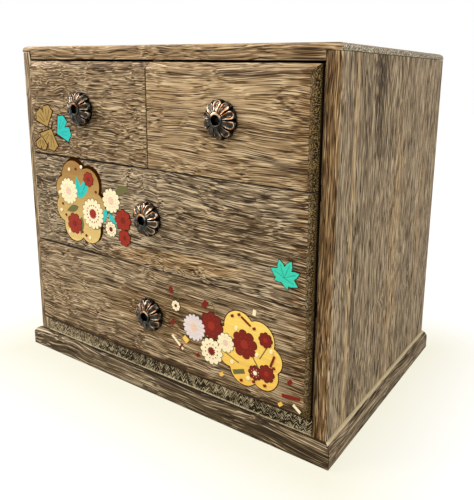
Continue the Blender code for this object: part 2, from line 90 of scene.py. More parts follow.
def add(tree, kind, *values, output=0, inputs=None, stops=(), **settings):
    """Add a shader node: inputs by order or by name, ramp stops as (place, colour), and its settings."""
    made = tree.nodes.new("ShaderNode" + kind)
    for key, value in settings.items():
        setattr(made, key, value)
    for key, value in [*enumerate(values), *(inputs or {}).items()]:
        socket = made.inputs[key]
        if isinstance(value, bpy.types.NodeSocket):
            tree.links.new(value, socket)
        else:
            socket.default_value = value
    for index, (place, colour) in enumerate(stops):
        ramp = made.color_ramp
        stop = ramp.elements[index] if index < 2 else ramp.elements.new(place)
        stop.position = place
        stop.color = colour
    return made.outputs[output] if made.outputs else None


def new_material(name):
    material = bpy.data.materials.new(name)
    material.use_nodes = True
    material.node_tree.nodes.clear()
    return material, material.node_tree


def dress(names, material):
    """Give CAD nodes their finish."""
    for name in names:
        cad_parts[name].data.materials.clear()
        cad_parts[name].data.materials.append(material)


def new_piece(bm, name, materials):
    """Make a finished bmesh an object at the origin."""
    mesh = bpy.data.meshes.new(name)
    bm.to_mesh(mesh)
    bm.free()
    for material in materials:
        mesh.materials.append(material)
    piece = bpy.data.objects.new(name, mesh)
    bpy.context.scene.collection.objects.link(piece)
    return piece


def grain_space(tree, grain):
    """The place in millimetres, turned so that the grain runs along the first axis."""
    turns = {"x": (0.0, 0.0, 0.0), "y": (0.0, 0.0, -math.pi / 2), "z": (0.0, math.pi / 2, 0.0)}
    return add(tree, "Mapping", add(tree, "TexCoord", output="Object"),
               inputs={"Scale": (TO_MM,) * 3, "Rotation": turns[grain]})


def flecks(tree, place, size, detail=2.0, rough=0.5, seed=0, output="Fac"):
    """Uneven flecks about as large as size, in millimetres along, across and through the grain."""
    scaled = add(tree, "Mapping", place, inputs={"Scale": [1 / side for side in size],
                                                 "Location": [seed * step for step in SEED_STEP]})
    return add(tree, "TexNoise", scaled, output=output,
               inputs={"Scale": 1.0, "Detail": detail, "Roughness": rough})


def wander(tree, place, size, reach, seed=0):
    """Push a place to both sides by slow flecks, within reach."""
    slow = flecks(tree, place, size, detail=0.6, seed=seed, output="Color")
    centred = add(tree, "VectorMath", slow, (0.5, 0.5, 0.5), operation="SUBTRACT")
    pushed = add(tree, "VectorMath", centred, reach, operation="MULTIPLY")
    return add(tree, "VectorMath", place, pushed, operation="ADD")


def facing(tree, direction):
    """How straight a face looks in a direction: 1 towards it, -1 away from it."""
    normal = add(tree, "TexCoord", output="Normal")
    return add(tree, "VectorMath", normal, direction, operation="DOT_PRODUCT", output="Value")


# Burnt wood

GRAIN_AXES = {"x": (1.0, 0.0, 0.0), "y": (0.0, 1.0, 0.0), "z": (0.0, 0.0, 1.0)}
FORWARD, DOWNWARD = (0.0, -1.0, 0.0), (0.0, 0.0, -1.0)
CASE_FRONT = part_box("right_side")[0][1] * TO_MM
FRONT_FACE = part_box("lower_drawer_front")[0][1] * TO_MM

# Five tones from scorched pores to raised fibre: of most boards, of grey places, of moulded edges
BROWN = ("#33210D", "#684C2E", "#8E704C", "#B0926A", "#D8BD94")
GREY = ("#33281B", "#604F3B", "#806E56", "#9F8A70", "#CBB696")
OLIVE = ("#221809", "#4A3A21", "#6C573A", "#9C8662", "#D8C8A2")
# Places of the tones on their ramp, its two ends first
TONE_STOPS = ((0.0, 0), (1.0, 4), (0.27, 1), (0.5, 2), (0.73, 3))
# Dark and pale specks of end grain, on most boards and on the top board
DARK_ENDS = ("#1C1206", "#8A7140")
PALE_ENDS = ("#6E624C", "#ECE2CA")
# Painted shade, almost black, in the gap behind the case's front edge and along the joints between rows
GAP_SHADE = "#1C1006"
# Painted highlight: pale cream along the top of a moulded edge
PALE_HIGHLIGHT = "#DCCB9E"

# Patterns of the wood, in millimetres along, across and through the grain
SWEEP_SIZE, SWEEP_REACH = (80, 28, 28), (0.0, 9.0, 9.0)
CURL_PATCH_SIZE = (38, 22, 22)
FIBRE_SIZE = (7, 0.45, 0.45)
BAND_SIZE = (110, 7, 7)
STREAK_SIZE, STREAK_REACH = (22, 2.2, 2.2), (40.0, 4.0, 4.0)
SPECK_SIZE = (2.0, 0.6, 0.6)
# Detail and roughness of the bands, and of the finer ones on the right side
PLAIN_BANDS, SIDE_BANDS = (2.0, 0.5), (3.0, 0.75)
# Levels of a pattern between which curls, lines and specks fade in
CURL_FADE, LINE_FADE, SPECK_FADE = (0.40, 0.60), (0.50, 0.63), (0.51, 0.62)
# Share of its curl that a board keeps outside the patches, and what each metre to the right adds to them
LEAST_CURL, CURL_RIGHTWARD = 0.2, -1.6
# Width of a bend as a share of its length, and length of raised lines as a share of burnt ones
BEND_WIDTH, RAISED_LENGTH = 0.7, 1.2
# What each pattern adds to the figure, and what centres it on zero
BAND_SHARE, RAISED_SHARE, BURNT_SHARE, FIBRE_SHARE, FIGURE_CENTRE = 0.55, 0.36, -0.44, 0.35, -0.427
# Herringbone that a brush left on the bottom board's front edge: width in millimetres, and slope
HERRINGBONE_WIDTH, HERRINGBONE_SLOPE = 2.5, 1.4
# Share of a spot that is even, before its border fades out
SPOT_CORE = 0.4
# Farther than any board reaches, in millimetres
FAR = 1000.0

# The right side's front edge is calmer, darker and browner than its face, and a drawer front's underside gets
# painted shade: darker and browner
EDGE_CALM, EDGE_DARK, UNDERSIDE_SHADE, EDGE_BROWN = -0.3, -0.07, -0.45, -1.2
# How straight a face looks along the grain where end grain starts and is full
END_FADE = (0.3, 0.7)
# Depth of a drawer front's rounded front corner, where end grain shows less
CORNER_DEPTH, CORNER_ENDS = 2.4, 0.35
# Where painted shade starts and is full as a drawer front runs into the gap behind the case's front edge, in
# millimetres, and how dark it is there
GAP_SHADE_START, GAP_SHADE_FULL, GAP_SHADE_MOST = -0.6, 0.2, 0.95
# Painted shade line along a joint between rows: half of its even core in millimetres, then half of its width
# and its darkness where the gap is wide and where it is narrow
JOINT_CORE = 0.4
WIDE_JOINT, NARROW_JOINT = (1.0, 1.0), (0.6, 0.55)

# Painted highlights and shade on moulded edges: levels by height in millimetres, the lowest and highest
# first, where 0.5 is the board's own
SHADES = {
    "front plinth": ((9.8, 0.50), (13.8, 0.30), (10.3, 0.34), (10.9, 0.56), (12.9, 0.54)),
    "side plinth": ((10.0, 0.50), (13.6, 1.40), (10.4, 0.34), (10.9, 0.44), (13.1, 0.30)),
    "bottom edge": ((14.0, 1.30), (15.5, 0.50), (14.7, 1.30)),
}
OWN_LEVEL, SHADES_HIGH, SHADE_DEPTH = 0.5, 25.0, 1.4
# Levels between which a moulded edge takes its painted highlight, and how strong the highlight gets
HIGHLIGHT_FADE, HIGHLIGHT_MOST = (0.7, 1.4), 0.55

# kind is what else marks the board's edges, and seed picks its figure. light and grey move its whole colour.
# curl is how far its fibres bend and wave how long each bend is, length how long and fine how thick its lines
# are, in millimetres. contrast is how strong the figure is, and joints are where shade is painted in the gaps
# along the board's edges.
Board = namedtuple("Board", "kind grain seed light grey curl wave length fine contrast ends spots joints",
                   defaults=(DARK_ENDS, (), ()))
# A lighter, darker, greyer or browner place, in millimetres along and across the grain and degrees
Spot = namedtuple("Spot", "along across half_length half_width tilt tone grey")
# The height of a joint between two rows, and from where to where along it the gap grows narrow
Joint = namedtuple("Joint", "height wide narrow")


def wood_figure(tree, grain, board):
    """What burning and brushing draw: below 0 in the scorched pores, above 0 on the raised fibre."""
    seed = board.seed
    swept = wander(tree, grain, SWEEP_SIZE, SWEEP_REACH, seed)
    patches = flecks(tree, grain, CURL_PATCH_SIZE, seed=seed + 1)
    rightward = add(tree, "SeparateXYZ", add(tree, "TexCoord", output="Object"), output="X")
    patches = add(tree, "Math", rightward, CURL_RIGHTWARD, patches, operation="MULTIPLY_ADD")
    curl = add(tree, "MapRange", patches, *CURL_FADE, board.curl * LEAST_CURL, board.curl)
    bend = (board.wave, board.wave * BEND_WIDTH, board.wave * BEND_WIDTH)
    curled = wander(tree, swept, bend, add(tree, "CombineXYZ", 0.0, curl, curl), seed)
    if board.kind == "bottom edge":
        x, y, z = [add(tree, "SeparateXYZ", curled, output=axis) for axis in "XYZ"]
        folded = add(tree, "Math", x, HERRINGBONE_WIDTH, operation="PINGPONG")
        z = add(tree, "Math", folded, HERRINGBONE_SLOPE, z, operation="MULTIPLY_ADD")
        curled = add(tree, "CombineXYZ", x, y, z)

    lines = []
    for length, line_seed in ((board.length, seed), (board.length * RAISED_LENGTH, seed + 5)):
        line = flecks(tree, curled, (length, board.fine, board.fine), detail=1.0, seed=line_seed)
        lines.append(add(tree, "MapRange", line, *LINE_FADE, 0.0, 1.0, interpolation_type="SMOOTHSTEP"))
    burnt, raised = lines
    fibre = flecks(tree, curled, FIBRE_SIZE, rough=0.6, seed=seed + 2)
    detail, rough = SIDE_BANDS if board.kind == "side" else PLAIN_BANDS
    bands = flecks(tree, swept, BAND_SIZE, detail, rough, seed + 3)
    figure = add(tree, "Math", bands, BAND_SHARE, FIGURE_CENTRE, operation="MULTIPLY_ADD")
    for part, share in ((raised, RAISED_SHARE), (burnt, BURNT_SHARE), (fibre, FIBRE_SHARE)):
        figure = add(tree, "Math", part, share, figure, operation="MULTIPLY_ADD")
    return figure


def spotted(tree, grain, board, tone, grey):
    """Make a board's own places lighter, darker, greyer or browner, with streaky borders."""
    streaked = wander(tree, grain, STREAK_SIZE, STREAK_REACH, board.seed + 4)
    across_axis = 1 if board.grain == "z" else 2
    for spot in board.spots:
        place, size, tilt = [spot.along, 0.0, 0.0], [spot.half_length, FAR, FAR], [0.0, 0.0, 0.0]
        place[across_axis] = spot.across
        size[across_axis] = spot.half_width
        tilt[3 - across_axis] = math.radians(spot.tilt)
        inside = add(tree, "Mapping", streaked, vector_type="TEXTURE",
                     inputs={"Location": place, "Rotation": tilt, "Scale": size})
        reach = add(tree, "VectorMath", inside, operation="LENGTH", output="Value")
        share = add(tree, "MapRange", reach, SPOT_CORE, 1.0, 1.0, 0.0, interpolation_type="SMOOTHSTEP")
        tone = add(tree, "Math", share, spot.tone, tone, operation="MULTIPLY_ADD")
        grey = add(tree, "Math", share, spot.grey, grey, operation="MULTIPLY_ADD")
    return tone, grey


def browned_edges_and_shaded_underside(tree, kind, tone, grey):
    """Calm and brown a side's front edge, and paint shade on a drawer front's underside: darker and browner.
    """
    if kind == "side":
        front_edge = add(tree, "Math", facing(tree, FORWARD), 0.0, operation="MAXIMUM")
        calmer = add(tree, "Math", tone, EDGE_CALM, EDGE_DARK, operation="MULTIPLY_ADD")
        tone = add(tree, "Math", front_edge, calmer, tone, operation="MULTIPLY_ADD")
        grey = add(tree, "Math", front_edge, EDGE_BROWN, grey, operation="MULTIPLY_ADD")
    if kind == "drawer":
        # Painted shade on the downward faces of a drawer front
        underside = add(tree, "Math", facing(tree, DOWNWARD), 0.0, operation="MAXIMUM")
        tone = add(tree, "Math", underside, UNDERSIDE_SHADE, tone, operation="MULTIPLY_ADD")
        grey = add(tree, "Math", underside, EDGE_BROWN, grey, operation="MULTIPLY_ADD")
    return tone, grey


def moulding_light_and_shade(tree, kind):
    """The painted highlights and shade of a moulded edge at each height."""
    height = add(tree, "SeparateXYZ", add(tree, "TexCoord", output="Object"), output="Z")
    height = add(tree, "Math", height, TO_MM / SHADES_HIGH, operation="MULTIPLY")
    return add(tree, "ValToRGB", height, stops=[(place / SHADES_HIGH, (level, level, level, 1.0))
                                                for place, level in SHADES[kind]])


def end_grain(tree, grain, board):
    """The speckled colour of a board's ends, and how far each face is an end."""
    specks = flecks(tree, grain, SPECK_SIZE, detail=1.0, seed=board.seed)
    specks = add(tree, "MapRange", specks, *SPECK_FADE, 0.0, 1.0)
    dark, pale = [linear(tone) for tone in board.ends]
    colour = add(tree, "Mix", specks, inputs={FIRST: dark, SECOND: pale}, **MIX_COLOURS)
    along = add(tree, "Math", facing(tree, GRAIN_AXES[board.grain]), operation="ABSOLUTE")
    ends = add(tree, "MapRange", along, *END_FADE, 0.0, 1.0)
    if board.kind == "drawer":
        depth = add(tree, "SeparateXYZ", grain, output="Y")
        past_corner = add(tree, "MapRange", depth, FRONT_FACE, FRONT_FACE + CORNER_DEPTH, CORNER_ENDS, 1.0)
        ends = add(tree, "Math", ends, past_corner, operation="MULTIPLY")
    return colour, ends


def drawer_gap_shade(tree, grain, joints):
    """How much shade is painted on a drawer front: behind the case's front edge in the gap, and in a thin
    line at each joint.
    """
    along, depth, height = [add(tree, "SeparateXYZ", grain, output=axis) for axis in "XYZ"]
    gap_shade = add(tree, "MapRange", depth, CASE_FRONT + GAP_SHADE_START, CASE_FRONT + GAP_SHADE_FULL, 0.0, GAP_SHADE_MOST)
    for joint in joints:
        away = add(tree, "Math", height, joint.height, operation="SUBTRACT")
        away = add(tree, "Math", away, operation="ABSOLUTE")
        half_width, density = [add(tree, "MapRange", along, joint.wide, joint.narrow, wide, narrow)
                               for wide, narrow in zip(WIDE_JOINT, NARROW_JOINT)]
        line = add(tree, "MapRange", away, JOINT_CORE, half_width, density, 0.0)
        gap_shade = add(tree, "Math", gap_shade, line, operation="MAXIMUM")
    return gap_shade


def burnt_paulownia(name, board):
    """Paulownia, scorched and wire-brushed: pale raised fibre between dark lines left in its pores.

    The eye sees wavy dashes along the grain, broad lighter and darker bands, speckled end grain, painted
    shade in the joints and gaps, painted highlights and shade on moulded edges and undersides, and a dry,
    slightly ridged surface.
    """
    material, tree = new_material(name)
    grain = grain_space(tree, board.grain)
    figure = wood_figure(tree, grain, board)
    tone = add(tree, "Math", figure, board.contrast, 0.5 + board.light, operation="MULTIPLY_ADD")
    grey = board.grey
    if board.spots:
        tone, grey = spotted(tree, grain, board, tone, grey)
    tone, grey = browned_edges_and_shaded_underside(tree, board.kind, tone, grey)
    moulded = board.kind in SHADES
    # Painted highlights and shade on moulded edges, by height
    if moulded:
        level = moulding_light_and_shade(tree, board.kind)
        shift = add(tree, "Math", level, OWN_LEVEL, operation="SUBTRACT")
        tone = add(tree, "Math", shift, SHADE_DEPTH, tone, operation="MULTIPLY_ADD")

    brown, grey_brown = [
        add(tree, "ValToRGB", tone, stops=[(place, linear(tones[which])) for place, which in TONE_STOPS])
        for tones in (OLIVE if moulded else BROWN, GREY)]
    colour = add(tree, "Mix", grey, inputs={FIRST: brown, SECOND: grey_brown}, **MIX_COLOURS)
    # Painted highlight: pale cream along the top of a moulded edge
    if moulded:
        highlight_and_bare = add(tree, "MapRange", level, *HIGHLIGHT_FADE, 0.0, HIGHLIGHT_MOST)
        colour = add(tree, "Mix", highlight_and_bare, inputs={FIRST: colour, SECOND: linear(PALE_HIGHLIGHT)}, **MIX_COLOURS)
    end_colour, ends = end_grain(tree, grain, board)
    colour = add(tree, "Mix", ends, inputs={FIRST: colour, SECOND: end_colour}, **MIX_COLOURS)
    # Painted shade in the gap behind the case's front edge and along the joints
    if board.kind == "drawer":
        gap_shade = drawer_gap_shade(tree, grain, board.joints)
        colour = add(tree, "Mix", gap_shade, inputs={FIRST: colour, SECOND: linear(GAP_SHADE)}, **MIX_COLOURS)

    bump = add(tree, "Bump", inputs={"Height": figure, "Strength": 0.5, "Distance": 0.5 * MM})
    rough = add(tree, "MapRange", tone, 0.0, 1.0, 0.72, 0.55)
    shader = add(tree, "BsdfPrincipled", inputs={"Base Color": colour, "Roughness": rough, "Normal": bump,
                                                 "Specular IOR Level": 0.12})
    add(tree, "OutputMaterial", shader)
    return material


def joint_between(upper, lower, wide, narrow):
    """The joint in the middle of the gap between two drawer fronts."""
    height = (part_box(f"{upper}_front")[0][2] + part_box(f"{lower}_front")[1][2]) / 2
    return Joint(height * TO_MM, wide, narrow)


LOWER_JOINT = joint_between("middle_drawer", "lower_drawer", -60, -35)
UPPER_JOINT = joint_between("upper_left_drawer", "middle_drawer", -14, -6)
BOARDS = {
    "top_board": Board("case", "x", 1, -0.03, 0.2, 5.0, 36, 70, 0.6, 1.15, PALE_ENDS, (
        # Painted highlight: a lighter line along the top front arris
        Spot(-30, 235.5, 150, 1.8, 0, 0.25, -0.2),
    )),
    "left_side": Board("case", "z", 2, 0.05, 0.5, 3.0, 18, 26, 0.6, 1.2),
    "right_side": Board("side", "z", 3, 0.05, 0.9, 3.0, 14, 14, 0.62, 1.75, DARK_ENDS, (
        Spot(120, -70, 400, 9, 0, 0.06, 0.3),
        Spot(120, -59, 400, 4, 0, 0.14, -0.7),
        Spot(120, -48, 400, 9, 0, -0.10, 0.4),
        Spot(240, -26, 80, 13, 0, -0.52, 0.6),
        Spot(110, 10, 120, 14, 0, 0.10, -0.6),
        Spot(120, 60, 90, 12, 0, 0.06, -0.4),
    )),
    "bottom_board": Board("bottom edge", "x", 4, -0.62, 0.0, 1.5, 8, 3.4, 0.62, 6.0, DARK_ENDS, (
        Spot(-120, 19, 90, 60, 0, 0.80, 0.3),
    )),
    "back_panel": Board("case", "x", 5, -0.04, 0.6, 3.5, 20, 22, 0.62, 1.5),
    "base_front": Board("front plinth", "x", 6, -0.20, 0.6, 6.0, 30, 80, 0.75, 1.6, DARK_ENDS, (
        Spot(100, 7, 130, 60, 0, -0.14, -0.2),
    )),
    "base_left": Board("side plinth", "y", 7, -0.06, 0.9, 4.0, 20, 30, 0.6, 1.5),
    "base_right": Board("side plinth", "y", 8, -0.06, 0.9, 4.0, 20, 30, 0.6, 1.5),
    "base_back": Board("case", "x", 9, -0.08, 0.7, 4.0, 20, 30, 0.6, 1.5),
    "upper_left_drawer_front": Board("drawer", "x", 10, -0.10, 0.4, 4.0, 14, 18, 0.52, 1.6, DARK_ENDS, (
        Spot(-60, 212, 70, 12, 0, 0.05, 0.0),
    ), (UPPER_JOINT,)),
    "upper_right_drawer_front": Board("drawer", "x", 11, 0.03, 0.25, 2.5, 22, 26, 0.5, 1.4, DARK_ENDS, (
        Spot(113.5, 190, 7, 160, 0, -0.28, -0.7),
        Spot(40, 207, 90, 12, -3, 0.14, -0.2),
        Spot(60, 218, 70, 2.5, -2, -0.20, 0.4),
        Spot(95, 172, 30, 4, 10, -0.22, 0.5),
    ), (UPPER_JOINT,)),
    "middle_drawer_front": Board("drawer", "x", 12, -0.02, 0.85, 6.0, 16, 18, 0.56, 2.3, DARK_ENDS, (
        Spot(114.5, 125, 7, 160, 0, -0.28, -0.9),
        Spot(70, 128, 70, 18, 0, -0.16, -0.3),
        Spot(-100, 125, 60, 45, 0, -0.06, 0.0),
        Spot(10, 109, 70, 2.6, 15, 0.35, -0.3),
        Spot(20, 101, 80, 8, -4, -0.05, -1.2),
    ), (LOWER_JOINT, UPPER_JOINT)),
    "lower_drawer_front": Board("drawer", "x", 13, -0.08, 0.55, 3.5, 18, 26, 0.52, 1.65, DARK_ENDS, (
        Spot(115.5, 60, 7, 160, 0, -0.25, -0.8),
        Spot(-40, 80, 90, 10, 0, 0.06, 0.2),
        Spot(20, 62, 75, 26, 0, -0.17, -0.6),
        # Painted shade: darker along the bottom of the front
        Spot(0, 23, 400, 12, 0, -0.50, -0.3),
    ), (LOWER_JOINT,)),
}
for node_name, board in BOARDS.items():
    dress([node_name], burnt_paulownia(f"burnt paulownia, {node_name}", board))


# Inner boards and screws

# Patterns of the unburnt wood, in millimetres along, across and through the grain
SLOW_SIZE, SLOW_REACH = (90, 30, 30), (0.0, 7.0, 7.0)
GROWTH_SIZE, BROAD_SIZE, PORE_SIZE = (160, 1.6, 1.6), (200, 14, 14), (4, 0.25, 0.25)
# Levels of the patterns between which growth and pores show, and what each adds to the tone
GROWTH_FADE, PORE_FADE = (0.34, 0.66), (0.58, 0.72)
GROWTH_SHARE, BROAD_SHARE, PORE_SHARE = 0.6, 0.4, -0.06
PLAIN_STOPS = ((0.0, "#AE8F64"), (1.0, "#E3CFAA"), (0.5, "#CDB388"))
STEEL_STOPS = ((0.3, "#0B0A09"), (0.8, "#241F1B"))
STEEL_SIZE = (0.6, 0.6, 0.6)


def plain_paulownia(name, grain, seed):
    """Planed paulownia as it comes: pale, straight and soft, with faint darker growth lines."""
    material, tree = new_material(name)
    place = wander(tree, grain_space(tree, grain), SLOW_SIZE, SLOW_REACH, seed)
    growth = flecks(tree, place, GROWTH_SIZE, rough=0.6, seed=seed)
    broad = flecks(tree, place, BROAD_SIZE, seed=seed + 1)
    pores = flecks(tree, place, PORE_SIZE, detail=1.0, seed=seed)
    pores = add(tree, "MapRange", pores, *PORE_FADE, 0.0, 1.0)
    tone = add(tree, "Math", broad, BROAD_SHARE, operation="MULTIPLY")
    tone = add(tree, "Math", growth, GROWTH_SHARE, tone, operation="MULTIPLY_ADD")
    tone = add(tree, "MapRange", tone, *GROWTH_FADE, 0.0, 1.0)
    tone = add(tree, "Math", pores, PORE_SHARE, tone, operation="MULTIPLY_ADD")
    colour = add(tree, "ValToRGB", tone, stops=[(level, linear(shade)) for level, shade in PLAIN_STOPS])
    bump = add(tree, "Bump", inputs={"Height": growth, "Strength": 0.2, "Distance": 0.3 * MM})
    shader = add(tree, "BsdfPrincipled", inputs={"Base Color": colour, "Roughness": 0.68, "Normal": bump,
                                                 "Specular IOR Level": 0.25})
    add(tree, "OutputMaterial", shader)
    return material


def blackened_steel():
    """Screws blackened in oil: almost black, with a faint uneven shine."""
    material, tree = new_material("blackened steel")
    uneven = flecks(tree, grain_space(tree, "x"), STEEL_SIZE, detail=3.0)
    colour = add(tree, "ValToRGB", uneven, stops=[(level, linear(shade)) for level, shade in STEEL_STOPS])
    rough = add(tree, "MapRange", uneven, 0.3, 0.7, 0.35, 0.6)
    shader = add(tree, "BsdfPrincipled", inputs={"Base Color": colour, "Metallic": 1.0, "Roughness": rough})
    add(tree, "OutputMaterial", shader)
    return material


DRAWERS = ("upper_left_drawer", "upper_right_drawer", "middle_drawer", "lower_drawer")
lengthwise = plain_paulownia("plain paulownia, boards across the chest", "x", 21)
backward = plain_paulownia("plain paulownia, boards from front to back", "y", 22)
dress(["lower_shelf", "upper_shelf"], lengthwise)
dress(["drawer_divider"], backward)
for drawer in DRAWERS:
    dress([f"{drawer}_back", f"{drawer}_bottom"], lengthwise)
    dress([f"{drawer}_left_side", f"{drawer}_right_side"], backward)
dress([f"{drawer}_knob_screw" for drawer in DRAWERS], blackened_steel())


# Knobs, in millimetres

PETALS = 10
AROUND, SKIRT_RINGS, COLLAR_RINGS = 240, 34, 12
KNOB_RADIUS, RING_RADIUS, RECESS_RADIUS, FOOT_RADIUS, HOLE_RADIUS = 11.5, 4.4, 3.0, 6.2, 1.7
KNOB_HEIGHT, SHOULDER_HEIGHT, RECESS_FLOOR, RIM_HEIGHT, RIM_THICKNESS = 7.0, 6.2, 3.4, 2.6, 2.1
RECESS_LIP, RIM_TAPER, RIM_CORNER, UNDERCUT = 0.6, 0.1, 0.5, 0.2
DOME_FULLNESS, PETAL_SCALLOP, PETAL_TIP, PETAL_RELIEF = 1.8, 0.9, 2.2, 1.0
# From 0 on a petal's outline to 1 in its middle: the place of its raised rim, and how wide the rim, the
# groove outside it and the scoop inside it are
BEAD_PLACE, BEAD_SPREAD, GROOVE_SPREAD, SCOOP_SPREAD = 0.28, 0.18, 0.13, 0.45
# How much the rim rises and the scoop sinks, as shares of the relief, and how much a tip's groove is filled
BEAD_SHARE, SCOOP_SHARE, TIP_FILLED = 0.6, 0.45, 0.7
# Where the rim is rubbed, and how widely
RUBBED_PLACE, RUBBED_SPREAD = 0.30, 0.16
# Painted highlights fall most on the upper side, a little to the right of the top, in radians
HIGHLIGHT_LEAN = 0.35
# Wear next to the collar, and the painted highlight that the upper side adds there
INNER_WORN, INNER_UPPER = 0.4, 0.5
# Mean wear, how far painted highlight and shade swing it between the upper and the lower side, and how much
# painted shade darkens the upper tips
MEAN_WORN, HIGHLIGHT_SWING, UPPER_TIP_SHADE = 0.72, 0.28, 0.9
# Painted highlight in the scoops of the upper petals, and the share of a petal's width that has it
SCOOP_HIGHLIGHT, SCOOP_WIDE = 0.31, 0.6
# Turn of each casting in degrees, and how strong its wear and painted highlights are
KNOB_TURNS = {"upper_left_drawer": 4, "upper_right_drawer": 34, "middle_drawer": 27, "lower_drawer": 8}
KNOB_WEAR_AND_HIGHLIGHT = {"upper_left_drawer": 0.75, "upper_right_drawer": 1.0, "middle_drawer": 1.0, "lower_drawer": 0.85}
# Points this close are merged where the spin closes, and edges beyond this many degrees stay sharp
SEAM_GAP, SHARP_ANGLE = 0.001, 50

# share is how far out on the petals a ring lies, and None elsewhere
# the last field is the ring's wear with painted highlight, and -1 where black shade is painted
Ring = namedtuple("Ring", "radius height share rubbed")


def bell(place, spread):
    """A smooth hump: 1 at zero, and almost 0 at twice its spread."""
    return math.exp(-(place / spread) ** 2)


def petal(across, to_tip):
    """Relief of a petal, and how worn its metal is: 1 on the raised rim, -1 in the groove, where black shade
    is painted.
    """
    tip = max(0.0, 1 - to_tip / PETAL_TIP)
    inward = 1 - min(1.0, math.hypot(across, tip))
    groove = bell(inward, GROOVE_SPREAD)
    relief = BEAD_SHARE * bell(inward - BEAD_PLACE, BEAD_SPREAD) - groove * (1 - TIP_FILLED * tip)
    relief -= SCOOP_SHARE * bell(1 - inward, SCOOP_SPREAD)
    return relief, bell(inward - RUBBED_PLACE, RUBBED_SPREAD) - groove


def knob_rings():
    """Rings of the knob, from its recess over its petals to its foot."""
    edge = (KNOB_HEIGHT + SHOULDER_HEIGHT) / 2
    # -1 paints black shade in the recess, under the rim and round the foot
    rings = [Ring(HOLE_RADIUS, RECESS_FLOOR, None, -1.0), Ring(RECESS_RADIUS, RECESS_FLOOR, None, -1.0),
             Ring(RECESS_RADIUS, edge - RECESS_LIP, None, -1.0)]
    middle, half = (RING_RADIUS + RECESS_RADIUS) / 2, (RING_RADIUS - RECESS_RADIUS) / 2
    for step in range(COLLAR_RINGS + 1):
        turn = math.pi * step / COLLAR_RINGS
        height = edge + (KNOB_HEIGHT - edge) * math.sin(turn)
        # The collar's crest takes wear, and a painted highlight on its upper side
        rings.append(Ring(middle - half * math.cos(turn), height, None, math.sin(turn)))
    for step in range(SKIRT_RINGS + 1):
        share = step / SKIRT_RINGS
        height = SHOULDER_HEIGHT - (SHOULDER_HEIGHT - RIM_HEIGHT) * share ** DOME_FULLNESS
        rings.append(Ring(RING_RADIUS + (KNOB_RADIUS - RING_RADIUS) * share, height, share, 0.0))
    under = RIM_HEIGHT - RIM_THICKNESS
    # The rim's underside and the foot take the painted black shade
    rings += [Ring(KNOB_RADIUS - RIM_TAPER, under + RIM_CORNER, 1.0, -1.0),
              Ring(KNOB_RADIUS - RIM_TAPER - RIM_CORNER, under, 1.0, -1.0),
              Ring(FOOT_RADIUS, under + UNDERCUT, None, -1.0),
              Ring(FOOT_RADIUS, 0.0, None, -1.0),
              Ring(HOLE_RADIUS, 0.0, None, -1.0)]
    return rings


def knob_point(ring, angle, turn):
    """How far out and how high a point of a ring lies, and its wear with painted highlight and painted shade.
    """
    if ring.share is None:
        upward = max(0.0, math.sin(angle - turn)) if ring.rubbed > 0 else 1.0
        return ring.radius, ring.height, ring.rubbed * upward
    across = abs(2 * (angle * PETALS / math.tau % 1.0) - 1)
    fallen = PETAL_SCALLOP * (1 - math.sqrt(max(0.0, 1 - across ** 2)))
    reach = ring.radius - fallen * ring.share
    if ring.height < RIM_HEIGHT:
        return reach, ring.height, ring.rubbed
    relief, wear_and_light = petal(across, KNOB_RADIUS - reach)
    lift = ring.height + PETAL_RELIEF * min(1.0, 2 * ring.share) * relief
    # Painted highlight on the upper side, painted shade on the lower side and on the upper tips
    upward = math.sin(angle - turn + HIGHLIGHT_LEAN)
    upper = max(0.0, upward)
    if wear_and_light > 0:
        near_tip = max(0.0, 1 - (KNOB_RADIUS - reach) / PETAL_TIP)
        wear_and_light *= min(1.0, INNER_WORN + INNER_UPPER * upper + ring.share) * (MEAN_WORN + HIGHLIGHT_SWING * upward)
        wear_and_light *= 1 - UPPER_TIP_SHADE * near_tip * upper
    if across < SCOOP_WIDE:
        wear_and_light = max(wear_and_light, SCOOP_HIGHLIGHT * upward)
    return reach, lift, wear_and_light


def fine_knob(drawer, material):
    """A cast chrysanthemum knob, spun and drawn out into petals, in the place of its plainer CAD shape."""
    screw_low, screw_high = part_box(f"{drawer}_knob_screw")
    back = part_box(f"{drawer}_knob")[1][1]
    foot = Vector(((screw_low[0] + screw_high[0]) / 2, back, (screw_low[2] + screw_high[2]) / 2))
    turn = math.radians(KNOB_TURNS[drawer])
    rings = knob_rings()
    bm = bmesh.new()
    rubbed = bm.verts.layers.float.new("rubbed")
    ring_number = bm.verts.layers.int.new("ring")
    profile = [bm.verts.new((ring.radius, -ring.height, 0.0)) for ring in rings]
    for number, vert in enumerate(profile):
        vert[ring_number] = number
    outline = [bm.edges.new(ends) for ends in zip(profile, profile[1:] + profile[:1])]
    bmesh.ops.spin(bm, geom=profile + outline, axis=(0.0, -1.0, 0.0), angle=math.tau, steps=AROUND,
                   use_merge=True)
    bmesh.ops.remove_doubles(bm, verts=bm.verts, dist=SEAM_GAP)
    for vert in bm.verts:
        angle = math.atan2(vert.co.z, vert.co.x)
        reach, lift, wear_and_light = knob_point(rings[vert[ring_number]], angle, turn)
        # Wear and painted highlight scale with the knob; painted shade stays full
        vert[rubbed] = wear_and_light * KNOB_WEAR_AND_HIGHLIGHT[drawer] if wear_and_light > 0 else wear_and_light
        vert.co = foot + MM * Vector((reach * math.cos(angle - turn), -lift, reach * math.sin(angle - turn)))
    bm.verts.layers.int.remove(ring_number)
    bmesh.ops.recalc_face_normals(bm, faces=bm.faces)
    knob = new_piece(bm, f"{drawer}_cast_knob", [material])
    knob.data.shade_smooth()
    knob.data.set_sharp_from_angle(angle=math.radians(SHARP_ANGLE))
    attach(knob, drawer)
    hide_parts(f"{drawer}_knob")


